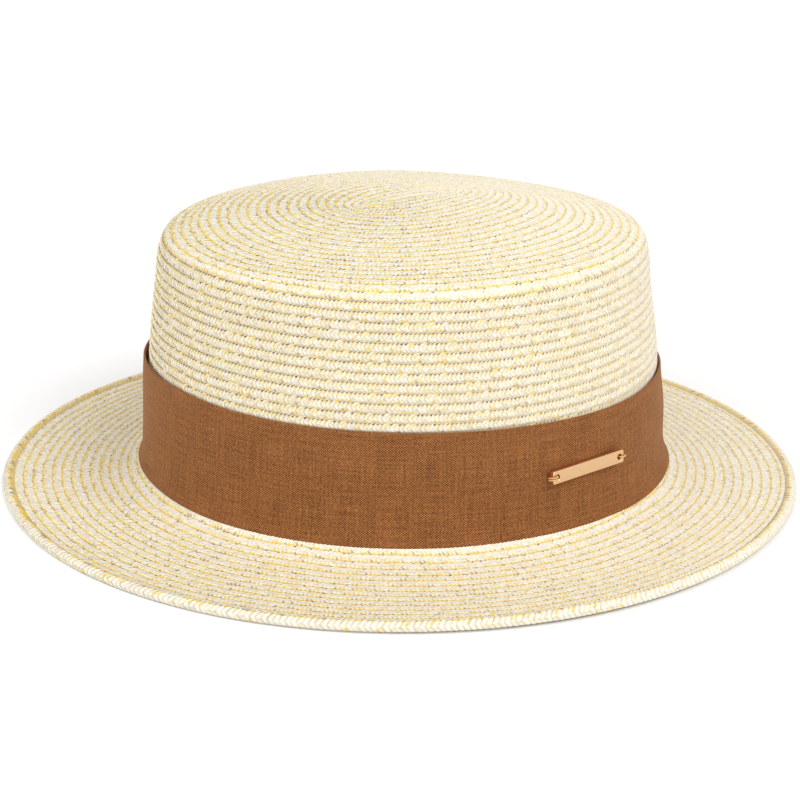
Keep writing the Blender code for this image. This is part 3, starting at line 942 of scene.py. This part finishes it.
def plate_frame():
    """The bar's own axes: X along it, Y up it, Z out of the band, found from its CAD node."""
    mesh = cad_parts["name_plate"].data
    points = np.array([vertex.co[:] for vertex in mesh.vertices])
    middle = (points.max(0) + points.min(0)) / 2.0
    spread = np.linalg.eigh(np.cov((points - points.mean(0)).T))
    out, up, along = (Vector(spread[1][:, i]) for i in range(3))
    if along.x < 0:
        along = -along
    if up.z < 0:
        up = -up
    out = along.cross(up)
    place = Matrix((along, up, out)).transposed().to_4x4()
    place.translation = Vector(middle)
    return place


def metal_material(name, colour, polish):
    """Rose-gold plating with a fine uneven shine, polish being its least roughness."""
    material, shader, tree = new_material(name, colour, roughness=0.32, metallic=1.0)
    rough = mapped(tree, object_noise(tree, 2500.0), target=(polish, polish + UNEVEN_SHINE))
    tree.links.new(rough, shader.inputs["Roughness"])
    return material


PLATE_LENGTH = 33.4 * MM
PLATE_HEIGHT = 4.8 * MM
PLATE_THICK = 1.95 * MM
PLATE_SET_BACK = 0.17 * MM  # how far its middle lies behind that of its CAD node
PLATE_CORNER = 0.7 * MM
PLATE_EDGE = 0.25 * MM      # radius of its rims
CORNER_STEPS = 6
HOLE_RADIUS = 1.05 * MM
HOLE_FROM_MIDDLE = 14.7 * MM
HOLE_STEPS = 32
SIDE_FACES_OUT = 0.3        # below this a face of the bar belongs to its sides and the walls of its holes
FLAT_FACES_OUT = 0.98       # and below this to the rounded rims between the sides and the flat faces
UNEVEN_SHINE = 0.16


def closed_outline(curve, points):
    """One closed line of the curve through those points of its plane."""
    line = curve.splines.new("POLY")
    line.points.add(len(points) - 1)
    for point, (x, y) in zip(line.points, points):
        point.co = (x, y, 0.0, 1.0)
    line.use_cyclic_u = True


def build_plate(place):
    """The metal bar in its own axes: a rounded outline with two holes, thickened, its rims rounded."""
    curve = bpy.data.curves.new("name_plate_body", "CURVE")
    curve.dimensions = "2D"
    curve.fill_mode = "BOTH"
    curve.extrude = PLATE_THICK / 2.0 - PLATE_EDGE
    curve.bevel_depth = PLATE_EDGE
    curve.bevel_resolution = 3
    corner = PLATE_CORNER - PLATE_EDGE
    half = (PLATE_LENGTH / 2.0 - PLATE_EDGE - corner, PLATE_HEIGHT / 2.0 - PLATE_EDGE - corner)
    outline = []
    for start, x, y in ((0, 1, 1), (90, -1, 1), (180, -1, -1), (270, 1, -1)):
        for step in range(CORNER_STEPS + 1):
            turn = math.radians(start + 90.0 / CORNER_STEPS * step)
            outline.append((x * half[0] + corner * math.cos(turn), y * half[1] + corner * math.sin(turn)))
    closed_outline(curve, outline)
    for side in (-1.0, 1.0):
        ring = []
        radius = HOLE_RADIUS + PLATE_EDGE
        for step in range(HOLE_STEPS):
            turn = 2.0 * math.pi * step / HOLE_STEPS
            ring.append((side * HOLE_FROM_MIDDLE + radius * math.cos(turn), radius * math.sin(turn)))
        closed_outline(curve, ring)
    blank = new_object("name_plate_blank", curve)
    graph = bpy.context.evaluated_depsgraph_get()
    mesh = bpy.data.meshes.new_from_object(blank.evaluated_get(graph))
    bpy.data.objects.remove(blank, do_unlink=True)
    body = bmesh.new()
    body.from_mesh(mesh)
    bmesh.ops.remove_doubles(body, verts=body.verts, dist=0.001 * MM)
    bmesh.ops.recalc_face_normals(body, faces=body.faces)
    place = place @ Matrix.Translation((0.0, 0.0, -PLATE_SET_BACK))
    bmesh.ops.transform(body, matrix=place, verts=body.verts)
    body.to_mesh(mesh)
    body.free()
    mesh.name = "name_plate_body"
    mesh.materials.clear()
    # one rose-gold plating: the sides and holes' walls get a darker, oranger copy as painted shade and
    # reflection, and the rims a brighter copy as painted highlight, less rough for their real polish
    mesh.materials.append(metal_material("plated_face", (0.79, 0.52, 0.29), 0.26))
    mesh.materials.append(metal_material("plated_sides_painted_light", (0.86, 0.42, 0.16), 0.26))
    mesh.materials.append(metal_material("plated_rims_painted_highlight", (0.96, 0.76, 0.50), 0.16))
    out = place.to_3x3().col[2]
    for polygon in mesh.polygons:
        facing = abs(polygon.normal.dot(out))
        polygon.material_index = 1 if facing < SIDE_FACES_OUT else 2 if facing < FLAT_FACES_OUT else 0
    plate = new_object("name_plate_body", mesh)
    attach(plate, "root")
    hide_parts("name_plate")


def build_threads():
    """The sewing threads are the CAD nodes themselves, with the look of thread."""
    look = new_material("sewing_thread", (0.72, 0.44, 0.15), 0.6)[0]
    for name in ("stitch_left_upper", "stitch_left_lower", "stitch_right"):
        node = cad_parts[name]
        node.data.materials.clear()
        node.data.materials.append(look)


def build_stage():
    """A pale floor under soft studio light from the upper right, and the camera."""
    floor_look = new_material("floor", (0.95, 0.95, 0.95), 0.9)[0]
    bpy.ops.mesh.primitive_plane_add(size=12.0)
    floor = bpy.context.active_object
    floor.name = "floor"
    floor.data.materials.append(floor_look)

    world = bpy.data.worlds.new("studio")
    bpy.context.scene.world = world
    world.use_nodes = True
    sky = world.node_tree.nodes["Background"]
    sky.inputs["Color"].default_value = (1.0, 1.0, 1.0, 1.0)
    sky.inputs["Strength"].default_value = 0.66

    Sun = namedtuple("Sun", "name from_x from_y from_z strength spread")  # spread in radians
    suns = (
        Sun("key", 0.9, -0.9, 1.5, 1.4, 0.6),
        Sun("fill", -1.2, -0.8, 1.2, 0.88, 1.0),
    )
    for sun in suns:
        light = bpy.data.lights.new(sun.name, "SUN")
        light.energy = sun.strength
        light.angle = sun.spread
        thing = new_object(sun.name, light)
        thing.location = (sun.from_x, sun.from_y, sun.from_z)
        thing.rotation_euler = (-thing.location).to_track_quat("-Z", "Y").to_euler()

    camera = bpy.data.cameras.new("camera")
    camera.lens = CAMERA_LENS_MM
    camera.sensor_width = SENSOR_MM
    camera.clip_start = 0.05
    camera.clip_end = 50.0
    eye = new_object("camera", camera)
    back = -CAMERA_AHEAD.normalized()
    right = (CAMERA_RIGHT - back * CAMERA_RIGHT.dot(back)).normalized()
    turn = Matrix((right, back.cross(right), back)).transposed().to_4x4()
    turn.translation = CAMERA_PLACE
    eye.matrix_world = turn
    bpy.context.scene.camera = eye
    bpy.context.scene.view_settings.view_transform = "Standard"


build_stage()
build_straw()
build_band()
build_plate(plate_frame())
build_threads()
